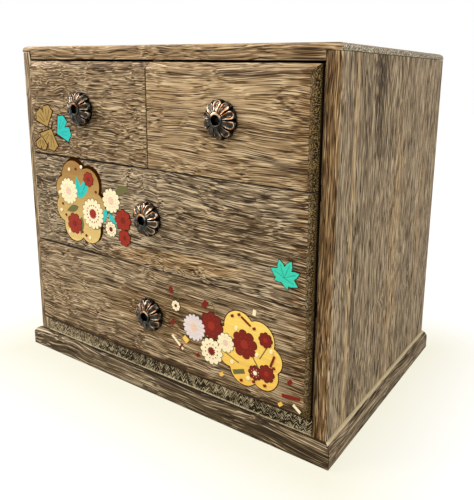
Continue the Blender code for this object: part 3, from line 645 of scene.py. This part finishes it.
PATINA_STOPS = ((0.3, "#1F1E19"), (0.75, "#48453D"))
COPPER_STOPS = ((0.40, "#B9703A"), (0.66, "#ECD2B2"))
# Painted shade: near black in the grooves, the recess, under the rim and at the foot
HOLLOW_SHADE = "#0A0807"
# Blotches of the patina and grain of the cast surface, in millimetres
BLOTCH_SIZE, CAST_SIZE = (2.8, 2.8, 2.8), (0.5, 0.5, 0.5)
# How much blotches move the edge of the wear and painted highlights, and the levels where metal turns bright
# and where black shade is painted in the grooves and hollows
BLOTCH_SHARE, BARE_METAL_AND_HIGHLIGHT, HOLLOW_SHADE_FADE = 0.45, (0.25, 0.85), (0.0, -0.4)


def antiqued_copper():
    """Cast copper under black patina, rubbed back to bright metal on the raised rims; highlights painted on
    the upper side, black shade painted in the hollows.
    """
    material, tree = new_material("antiqued copper")
    place = grain_space(tree, "x")
    wear_and_light = add(tree, "Attribute", output="Fac", attribute_name="rubbed")
    blotches = flecks(tree, place, BLOTCH_SIZE, detail=1.0, seed=31)
    uneven = add(tree, "Math", blotches, 0.5, operation="SUBTRACT")
    blotched_wear_and_light = add(tree, "Math", uneven, BLOTCH_SHARE, wear_and_light, operation="MULTIPLY_ADD")
    highlight_and_bare = add(tree, "MapRange", blotched_wear_and_light, *BARE_METAL_AND_HIGHLIGHT, 0.0, 1.0)
    # Painted black shade where the value is below zero
    groove = add(tree, "MapRange", wear_and_light, *HOLLOW_SHADE_FADE, 0.0, 1.0)
    patina, copper = [
        add(tree, "ValToRGB", blotches, stops=[(level, linear(shade)) for level, shade in stops])
        for stops in (PATINA_STOPS, COPPER_STOPS)]
    colour = add(tree, "Mix", highlight_and_bare, inputs={FIRST: patina, SECOND: copper}, **MIX_COLOURS)
    colour = add(tree, "Mix", groove, inputs={FIRST: colour, SECOND: linear(HOLLOW_SHADE)}, **MIX_COLOURS)
    rough = add(tree, "MapRange", blotches, 0.3, 0.7, 0.10, 0.20)
    rough = add(tree, "Math", groove, 0.3, rough, operation="MULTIPLY_ADD")
    cast = flecks(tree, place, CAST_SIZE, seed=32)
    bump = add(tree, "Bump", inputs={"Height": cast, "Strength": 0.04, "Distance": 0.2 * MM})
    shader = add(tree, "BsdfPrincipled", inputs={"Base Color": colour, "Metallic": 1.0, "Roughness": rough,
                                                 "Normal": bump})
    add(tree, "OutputMaterial", shader)
    return material


knob_metal = antiqued_copper()
for drawer in DRAWERS:
    fine_knob(drawer, knob_metal)


# Prints: flat shapes in millimetres on the drawer fronts, as lists of (x, z) points, with angles in degrees

# How blunt a leaf's base and a rosette's petals are
LEAF_BLUNT, PETAL_BLUNT = 0.8, 0.55
# Ginkgo leaf: its base, how far it spreads to each side, and how much more its outline does
GINKGO_BASE, GINKGO_SPREAD, OUTLINE_SPREAD = 1.2, 56, 90
# Its notch as a share of the radius and in degrees, its waves, and how its edge falls for each degree
NOTCH_DEPTH, NOTCH_SPREAD, WAVE_DEPTH, WAVES, EDGE_FALL = 0.42, 6.5, 0.04, 11, 0.0022
# Maple leaf: turn and reach of its lobes, the points of a lobe, and the bays between lobes and at the stalk
MAPLE_LOBES = ((-134, 0.62), (-88, 0.88), (-43, 0.97), (0, 1.03), (43, 0.97), (88, 0.88), (134, 0.62))
LOBE_POINTS = ((-13, 0.76), (0, 1.0), (13, 0.76))
BAY, STALK_BAY = 0.58, 0.30
# Printed ginkgo leaf: its outline's width, its stalk, and its veins as shares of the radius and in width
GINKGO_LINE = 0.7
STALK_PLACE, STALK_LONG, STALK_WIDE = -3.4, 6, 1.1
VEIN_PLACE, VEIN_LONG, VEIN_WIDE = 0.48, 0.55, 0.28
# Printed flower: its outline's width, how deep the notches between petals are, and the radius of its heart,
# of its ring of dots and of a dot as shares of its own
FLOWER_LINE = 0.35
OUTLINE_NOTCH, PETAL_NOTCH, HEART_NOTCH = 0.20, 0.22, 0.35
HEART_RADIUS, DOT_RING, DOT_RADIUS = 0.34, 0.55, 0.05


def polar(x, z, reach, angle):
    """The point at a distance and an angle from another."""
    return x + reach * math.cos(math.radians(angle)), z + reach * math.sin(math.radians(angle))


def disc(x, z, radius, count):
    return [polar(x, z, radius, 360 * i / count) for i in range(count)]


def strip(x, z, length, width, angle):
    """A narrow slip of cut paper, centred on a point."""
    half = math.hypot(length, width) / 2
    lean = math.degrees(math.atan2(width, length))
    return [polar(x, z, half, angle + turn) for turn in (lean, 180 - lean, 180 + lean, -lean)]


def leaf(x, z, length, width, angle, count=16):
    """A pointed leaf that grows from a point."""
    cos, sin = math.cos(math.radians(angle)), math.sin(math.radians(angle))
    outline = []
    for i in range(2 * count):
        share = i / count if i < count else 2 - i / count
        bulge = width / 2 * math.sin(math.pi * share ** LEAF_BLUNT) * (1 if i < count else -1)
        outline.append((x + length * share * cos - bulge * sin, z + length * share * sin + bulge * cos))
    return outline


def rosette(x, z, radius, petals, notch, turn, count=16):
    """A round flower with petals side by side."""
    outline = []
    for i in range(petals * count):
        angle = 360 * i / (petals * count)
        dip = 1 - abs(math.cos(math.radians(petals * angle / 2))) ** PETAL_BLUNT
        outline.append(polar(x, z, radius * (1 - notch * dip), angle + turn))
    return outline


def cloud(x, z, lobes, grow=0.0, count=180):
    """The outline round a cluster of overlapping circles, seen from a point inside."""
    outline = []
    for i in range(count):
        cos, sin = math.cos(math.tau * i / count), math.sin(math.tau * i / count)
        reach = 0.0
        for lobe_x, lobe_z, radius in lobes:
            along = (lobe_x - x) * cos + (lobe_z - z) * sin
            off = (lobe_x - x) * -sin + (lobe_z - z) * cos
            if abs(off) < radius + grow:
                reach = max(reach, along + math.sqrt((radius + grow) ** 2 - off ** 2))
        outline.append((x + reach * cos, z + reach * sin))
    return outline


def ginkgo(x, z, radius, angle, grow=0.0, count=48):
    """A fan-shaped leaf with a wavy edge and a notch."""
    outline = [polar(x, z, -GINKGO_BASE - grow, angle)]
    spread = GINKGO_SPREAD + OUTLINE_SPREAD * grow / radius
    for i in range(count + 1):
        swing = -spread + 2 * spread * i / count
        wave = 1 - WAVE_DEPTH * (1 - math.cos(math.radians(WAVES * swing))) - EDGE_FALL * abs(swing)
        notch = NOTCH_DEPTH * bell(swing, NOTCH_SPREAD)
        outline.append(polar(x, z, radius * (wave - notch) + grow, angle + swing))
    return outline


def maple(x, z, radius, angle, grow=0.0):
    """A leaf of seven pointed lobes."""
    following = [turn for turn, reach in MAPLE_LOBES[1:]] + [MAPLE_LOBES[0][0] + 360]
    outline = []
    for (turn, reach), next_turn in zip(MAPLE_LOBES, following):
        for swing, share in LOBE_POINTS:
            outline.append(polar(x, z, radius * reach * share + grow, angle + turn + swing))
        bay = STALK_BAY if next_turn > 180 else BAY
        outline.append(polar(x, z, radius * bay + grow, angle + (turn + next_turn) / 2))
    return outline


# Dashes and speckles in the printed colour, in millimetres
DASH_SIZE, SPECKLE_SIZE = (15, 1.0, 1.0), (0.7, 0.7, 0.7)
# Levels of the dashes, the shades that they give, and what speckles add
DASH_FADE, DASH_SHADES, SPECKLE_SHARE = (0.35, 0.62), (0.86, 0.98), 0.06


def ink(name, upper, lower=None, low=0.0, high=1.0, shine=0.1):
    """Screen-printed colour: even and satin, thin enough for the grain below to show as faint lines.

    The lower colour turns into the upper one between two heights.
    """
    material, tree = new_material(f"print ink, {name}")
    grain = grain_space(tree, "x")
    dashes = flecks(tree, grain, DASH_SIZE, detail=3.0, rough=0.6, seed=41)
    speckle = flecks(tree, grain, SPECKLE_SIZE, rough=0.6, seed=42)
    height = add(tree, "SeparateXYZ", grain, output="Z")
    blend = add(tree, "MapRange", height, low, high, 0.0, 1.0)
    colour = add(tree, "Mix", blend, **MIX_COLOURS,
                 inputs={FIRST: linear(lower or upper), SECOND: linear(upper)})
    shade = add(tree, "MapRange", dashes, *DASH_FADE, *DASH_SHADES)
    shade = add(tree, "Math", speckle, SPECKLE_SHARE, shade, operation="MULTIPLY_ADD")
    colour = add(tree, "VectorMath", colour, shade, operation="MULTIPLY")
    bump = add(tree, "Bump", inputs={"Height": dashes, "Strength": 0.2, "Distance": 0.4 * MM})
    shader = add(tree, "BsdfPrincipled", inputs={"Base Color": colour, "Roughness": 0.42, "Normal": bump,
                                                 "Specular IOR Level": shine})
    add(tree, "OutputMaterial", shader)
    return material


INKS = {
    "brown": ink("dark brown", "#351A04", shine=0.0),
    "tan": ink("shaded gold", "#A67C44", "#E6C57C", 100, 150),
    "moss": ink("mossy gold", "#AE8E50"),
    "gold": ink("yellow gold", "#FFDB70", "#F8C358", 30, 82),
    "cream": ink("cream", "#FFEFC6"),
    "blush": ink("blush", "#F0CDB4"),
    "pearl": ink("pearl pink", "#E8DBD8"),
    "red": ink("vermilion", "#9E3020"),
    "wine": ink("wine red", "#7C2318"),
    "teal": ink("teal", "#34C6BE"),
    "mint": ink("mint", "#40D2B4"),
    "sea": ink("sea green", "#2A927F"),
    "olive": ink("olive", "#6E6A3F"),
}
# Thickness of a level of print, what each later shape adds, and the gap below, in millimetres
INK_STEP, INK_RISE, INK_GAP = 0.04, 0.002, 0.01


def prints_on(drawer, shapes):
    """Lay shapes of (colour, level, outline) on a drawer front, each as a thin closed sheet."""
    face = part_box(f"{drawer}_front")[0][1] - MM * INK_GAP
    colours = list(dict.fromkeys(colour for colour, level, outline in shapes))
    bm = bmesh.new()
    for index, (colour, level, outline) in enumerate(shapes):
        sheet = bm.faces.new([bm.verts.new((MM * x, face, MM * z)) for x, z in outline])
        sheet.material_index = colours.index(colour)
        raised = bmesh.ops.extrude_face_region(bm, geom=[sheet])["geom"]
        verts = [part for part in raised if isinstance(part, bmesh.types.BMVert)]
        thickness = MM * (INK_STEP * level + INK_RISE * index)
        bmesh.ops.translate(bm, verts=verts, vec=(0.0, -thickness, 0.0))
    bmesh.ops.recalc_face_normals(bm, faces=bm.faces)
    piece = new_piece(bm, f"{drawer}_print", [INKS[colour] for colour in colours])
    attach(piece, drawer)


def flower(x, z, radius, petals, outer, heart, turn=0):
    """A rosette with a darker outline, a heart and a ring of small dots."""
    shapes = [("brown", 2, rosette(x, z, radius + FLOWER_LINE, petals, OUTLINE_NOTCH, turn)),
              (outer, 3, rosette(x, z, radius, petals, PETAL_NOTCH, turn)),
              (heart, 4, rosette(x, z, radius * HEART_RADIUS, petals, HEART_NOTCH, turn))]
    for i in range(petals):
        place = polar(x, z, radius * DOT_RING, 360 * (i + 0.5) / petals + turn)
        shapes.append((heart, 4, disc(*place, radius * DOT_RADIUS, 8)))
    return shapes


def upper_left_print():
    """Four ginkgo leaves."""
    shapes = []
    for colour, vein, x, z, radius, angle in (
            ("moss", "brown", -99, 180, 15, 112), ("moss", "brown", -95, 176, 15.5, 248),
            ("teal", "sea", -87, 175, 15, 30), ("moss", "brown", -106, 170, 9.5, 262)):
        stalk = polar(x, z, STALK_PLACE, angle)
        shapes += [("brown", 1, strip(*stalk, STALK_LONG, STALK_WIDE, angle)),
                   ("brown", 1.4, ginkgo(x, z, radius, angle, GINKGO_LINE)),
                   (colour, 2, ginkgo(x, z, radius, angle))]
        for swing in (-38, -19, 19, 38):
            place = polar(x, z, radius * VEIN_PLACE, angle + swing)
            shapes.append((vein, 3, strip(*place, radius * VEIN_LONG, VEIN_WIDE, angle + swing)))
    return shapes


def middle_print():
    """A lobed cloud with its shadow, flowers and leaves round it, and a maple leaf by itself."""
    lobes = ((-73, 144, 12.5), (-58, 141, 11.5), (-52, 126, 10.5), (-58, 110, 11), (-74, 109, 11),
             (-83, 121, 10), (-83, 135, 9.5), (-67, 127, 17))
    shadow = [(x + 2.0, z + 1.6, radius) for x, z, radius in lobes]
    shapes = [("brown", 1, cloud(-66, 128, shadow, 0.8)), ("brown", 1.2, cloud(-67, 127, lobes, 0.6)),
              ("tan", 2, cloud(-67, 127, lobes)),
              ("teal", 3, leaf(-66, 131, 18, 7, 62)), ("teal", 3.2, leaf(-67, 130, 16, 6, 100)),
              ("sea", 4, strip(-61.5, 139.5, 13, 0.35, 62)), ("sea", 4, strip(-68.5, 138, 11, 0.35, 100)),
              ("olive", 3, leaf(-69, 124, 14, 5, 200)), ("olive", 3, leaf(-66, 117, 14, 5, 262)),
              ("olive", 3, leaf(-30, 139, 13, 6.5, 25)), ("teal", 3, leaf(-40, 127, 12, 4, 250)),
              ("teal", 3, leaf(-38, 124, 12, 4, 310)), ("olive", 3, leaf(-45, 116, 11, 5, 215))]
    shapes += flower(-79, 134, 9.5, 14, "cream", "blush", 8)
    shapes += flower(-54, 121, 11.0, 16, "cream", "red")
    shapes += flower(-35, 133, 8.5, 12, "cream", "blush")
    shapes += flower(-74, 111, 7.5, 8, "red", "wine", 20)
    shapes += flower(-57, 145, 5.0, 8, "red", "wine", 10)
    shapes += flower(-24, 121, 7.4, 8, "red", "wine")
    shapes += flower(-36, 113, 5.4, 10, "cream", "wine", 12)
    shapes += flower(-23, 109, 5.6, 8, "red", "wine", 15)
    for x, z in ((-86, 124), (-70, 151), (-50, 137), (-62, 104), (-83, 116), (-66, 106)):
        shapes.append(("wine", 4, disc(x, z, 1.0, 10)))
    for x, z in ((-77, 150), (-89, 132), (-64, 153), (-58, 103), (-80, 104), (-88, 119)):
        shapes.append(("cream", 4, disc(x, z, 1.2, 10)))
    x, z, radius, angle = 102.5, 108.8, 11.0, 66
    shapes += [("brown", 1, maple(x, z, radius, angle, 0.5)), ("mint", 2, maple(x, z, radius, angle))]
    for turn, reach in ((-88, 7), (-43, 8), (0, 9), (43, 8), (88, 7)):
        shapes.append(("sea", 3, strip(*polar(x, z, reach / 2, angle + turn), reach, 0.3, angle + turn)))
    return shapes


def lower_print():
    """A lobed cloud among flowers, dots and cut slips."""
    lobes = ((72, 70, 11), (86, 67, 11), (94, 56, 8.5), (90, 46, 10), (76, 45, 10.5), (65, 52, 8.5),
             (62, 61, 7.5), (79, 56, 14))
    shapes = [("brown", 1, cloud(79, 55, lobes, 0.6)), ("gold", 2, cloud(79, 55, lobes)),
              ("olive", 3, strip(84, 52, 16, 0.8, 125)), ("olive", 3, strip(90, 60, 12, 0.7, 60)),
              ("olive", 3, strip(72, 42, 9, 3.0, 20)), ("olive", 3, strip(66, 50, 13, 0.7, 160)),
              ("olive", 3, strip(23, 82, 12, 0.6, 100)), ("olive", 3, strip(52, 80, 10, 0.6, 118))]
    shapes += flower(76, 61, 9.0, 8, "wine", "red", 10)
    shapes += flower(51, 66, 9.0, 8, "wine", "red")
    shapes += flower(37, 61, 9.0, 16, "pearl", "blush")
    shapes += flower(51, 49, 8.8, 12, "cream", "wine")
    shapes += flower(62, 58, 6.4, 10, "cream", "blush", 8)
    shapes += flower(92, 47, 5.4, 8, "wine", "red")
    shapes += flower(84, 45, 4.6, 8, "wine", "cream")
    shapes += flower(91, 68, 4.6, 8, "wine", "red")
    shapes += flower(22, 72, 3.6, 8, "cream", "wine")
    for colour, x, z, length, width, angle in (
            ("wine", 77, 76, 8, 1.3, -32), ("wine", 96, 56, 8, 1.4, 70), ("cream", 23, 47, 12, 1.4, -38),
            ("wine", 109, 38, 12, 1.9, 6), ("cream", 113, 32, 6, 1.5, -35), ("wine", 26, 45, 4, 1.4, 60),
            ("gold", 30, 51, 4.4, 3.4, -40), ("gold", 59, 36, 3.0, 2.4, 40), ("gold", 102, 31, 3.0, 2.2, 40),
            ("cream", 83, 83, 3.6, 2.2, 80), ("wine", 108, 47, 3.2, 2.4, 50), ("wine", 40, 43, 3.0, 2.0, 40),
            ("wine", 18, 82, 4.4, 2.6, 110), ("wine", 19, 60, 4.0, 2.6, 60), ("wine", 46, 79, 5.0, 3.4, 60)):
        shapes.append((colour, 4, strip(x, z, length, width, angle)))
    for x, z in ((67, 77), (72, 79), (97, 52), (83, 39), (74, 37), (83, 73), (91, 39)):
        shapes.append(("wine", 4, strip(x, z, 2.0, 1.6, 20)))
    for x, z in ((70, 70), (67, 47), (95, 62), (85, 57), (79, 40)):
        shapes.append(("cream", 4, disc(x, z, 1.2, 10)))
    return shapes


prints_on("upper_left_drawer", upper_left_print())
prints_on("middle_drawer", middle_print())
prints_on("lower_drawer", lower_print())


# Stage, in metres: a pale floor, soft lamps and the camera

FLOOR_HALF = 3.0
WHITE = "#FFFFFF"
# The paper's colour to the rays that light the chest, and to those that show the background
LIT_PAPER, SEEN_PAPER = "#AAA692", "#555248"
# Next to the chest the background is warmer and less lifted, and it turns white over this distance
NEAR_TINT, NEAR_LIFT, WHITE_AT = "#FFFCEA", 0.84, 0.07
WORLD_LIGHT = 0.40
# The place that every lamp faces
LIT_PLACE = Vector((0.0, 0.0, 0.12))
Lamp = namedtuple("Lamp", "place width height watts")
LAMPS = {
    "key": Lamp((-0.83, -0.60, 1.07), 0.5, 1.4, 20),
    "window": Lamp((-1.3, 0.1, 0.60), 0.5, 0.9, 8),
    "front": Lamp((0.45, -1.0, 0.95), 0.4, 0.4, 4),
    "fill": Lamp((1.2, -0.4, 0.7), 0.9, 0.9, 8),
}


def background_ray(tree):
    """1 for the rays that show the background: straight from the camera, mirrored or through glass."""
    seen = add(tree, "LightPath", output="Is Camera Ray")
    for kind in ("Is Glossy Ray", "Is Transmission Ray"):
        seen = add(tree, "Math", seen, add(tree, "LightPath", output=kind), operation="MAXIMUM")
    return seen


def white_paper():
    """Matt white paper: a soft shadow round the chest, then plain white."""
    material, tree = new_material("white paper sweep")
    seen = background_ray(tree)
    paper = add(tree, "Mix", seen, **MIX_COLOURS,
                inputs={FIRST: linear(LIT_PAPER), SECOND: linear(SEEN_PAPER)})
    paper = add(tree, "BsdfDiffuse", paper)
    away = add(tree, "VectorMath", add(tree, "TexCoord", output="Object"), operation="ABSOLUTE")
    away = add(tree, "VectorMath", away, CAD_BOX[1], operation="SUBTRACT")
    away = add(tree, "VectorMath", away, (0.0, 0.0, 0.0), operation="MAXIMUM")
    away = add(tree, "VectorMath", away, operation="LENGTH", output="Value")
    away = add(tree, "MapRange", away, 0.0, WHITE_AT, 0.0, 1.0)
    tint = add(tree, "Mix", away, inputs={FIRST: linear(NEAR_TINT), SECOND: linear(WHITE)}, **MIX_COLOURS)
    lift = add(tree, "MapRange", away, 0.0, 1.0, NEAR_LIFT, 1.0)
    lift = add(tree, "Math", seen, lift, operation="MULTIPLY")
    glow = add(tree, "Emission", tint, lift)
    add(tree, "OutputMaterial", add(tree, "AddShader", paper, glow))
    return material


def pale_floor():
    bm = bmesh.new()
    bmesh.ops.create_grid(bm, x_segments=1, y_segments=1, size=FLOOR_HALF)
    floor = new_piece(bm, "floor", [white_paper()])


def soft_lamps():
    for name, lamp in LAMPS.items():
        data = bpy.data.lights.new(name, "AREA")
        data.shape = "RECTANGLE"
        data.size = lamp.width
        data.size_y = lamp.height
        data.energy = lamp.watts
        placed = bpy.data.objects.new(name, data)
        placed.location = lamp.place
        placed.rotation_euler = (LIT_PLACE - Vector(lamp.place)).to_track_quat("-Z", "Y").to_euler()
        bpy.context.scene.collection.objects.link(placed)


def white_world():
    world = bpy.data.worlds.new("white studio")
    bpy.context.scene.world = world
    world.use_nodes = True
    tree = world.node_tree
    tree.nodes.clear()
    strength = add(tree, "MapRange", background_ray(tree), 0.0, 1.0, WORLD_LIGHT, 1.0)
    add(tree, "OutputWorld", add(tree, "Background", linear(WHITE), strength))


def photo_camera():
    data = bpy.data.cameras.new("photo camera")
    data.sensor_fit = "AUTO"
    data.sensor_width = SENSOR
    data.lens = FOCAL_PIXELS / FRAME_HIGH * SENSOR
    data.shift_x, data.shift_y = CAMERA_SHIFT
    data.clip_start = NEAREST_SEEN
    camera = bpy.data.objects.new("photo camera", data)
    camera.location = CAMERA_PLACE
    camera.rotation_euler = Euler([math.radians(angle) for angle in CAMERA_TURN], "XYZ")
    bpy.context.scene.collection.objects.link(camera)
    bpy.context.scene.camera = camera


pale_floor()
soft_lamps()
white_world()
photo_camera()
bpy.context.scene.view_settings.view_transform = "Standard"
